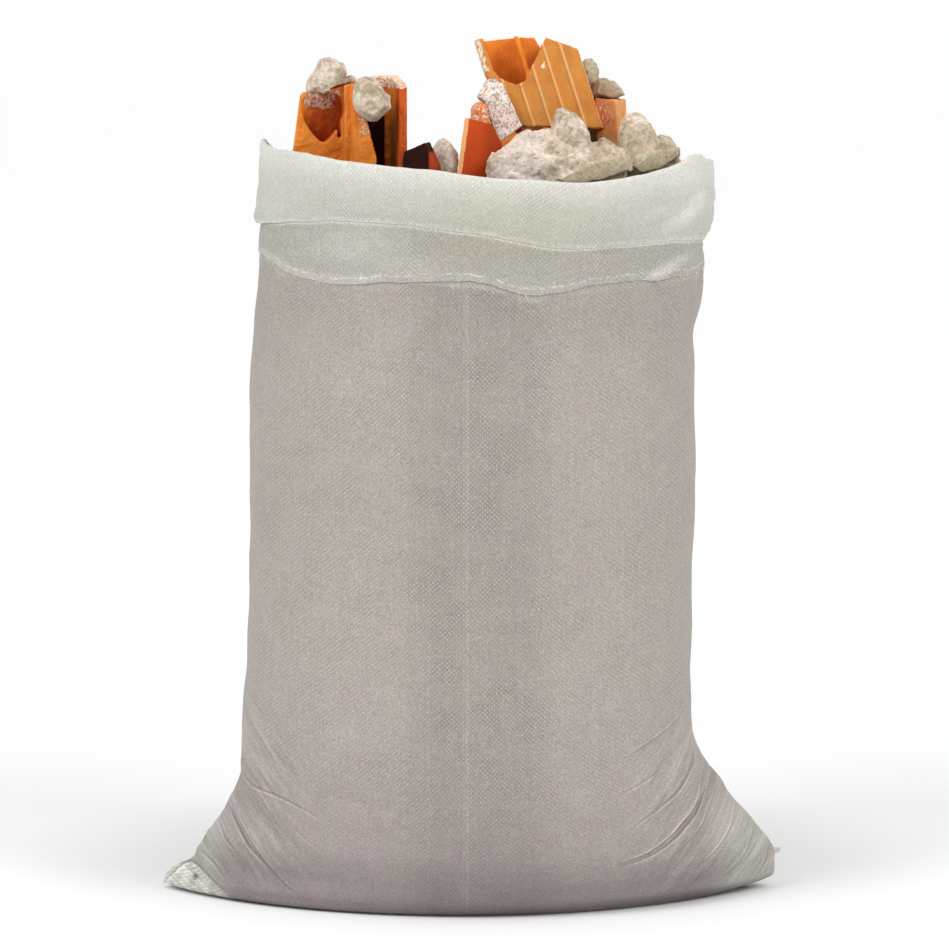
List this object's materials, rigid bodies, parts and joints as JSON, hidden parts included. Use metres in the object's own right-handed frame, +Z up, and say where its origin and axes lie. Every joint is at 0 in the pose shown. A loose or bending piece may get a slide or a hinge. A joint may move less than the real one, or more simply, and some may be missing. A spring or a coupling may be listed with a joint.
{
  "type": "woven waste sack",
  "caption": "Woven plastic rubble sack with a sewn bottom and a folded-down cuff, filled to the brim with broken hollow clay blocks and mortar lumps.",
  "frame": {"origin": "on the floor under the middle of the whole part's bounding box", "axes": "+Z up, -Y is the front that the picture shows, +X to the right as seen from the front, along the sewn bottom"},
  "size_m": [0.602, 0.34, 0.8356],
  "materials": {
    "woven_cloth": "greyish white woven polypropylene tape, matt with a slight sheen",
    "clay_block": "fired orange clay, dusty on the broken edges",
    "mortar": "rough grey-beige old mortar",
    "plaster": "speckled white plaster",
    "rubble_mix": "mixed building rubble"
  },
  "bodies": {
    "root": {"back_block_shard": "clay_block", "back_centre_mortar_lump": "mortar", "back_left_block_shard": "clay_block", "back_left_mortar_lump": "mortar", "back_mortar_lump": "mortar", "back_right_block_fragment": "clay_block", "back_right_mortar_lump": "mortar", "back_upper_mortar_lump": "mortar", "big_block_fragment": "clay_block", "centre_block_shard": "clay_block", "centre_mortar_lump": "mortar", "dark_block_shard": "clay_block", "flat_block_shard": "clay_block", "front_left_mortar_lump": "mortar", "front_mortar_chunk": "mortar", "left_block_fragment": "clay_block", "lower_left_mortar_lump": "mortar", "middle_mortar_lump": "mortar", "plaster_patch": "plaster", "right_mortar_chunk": "mortar", "rubble_core": "rubble_mix", "small_brick_chip": "clay_block", "support_mortar_lump": "mortar", "upper_left_mortar_lump": "mortar", "woven_sack": "woven_cloth"}
  },
  "joints": []
}
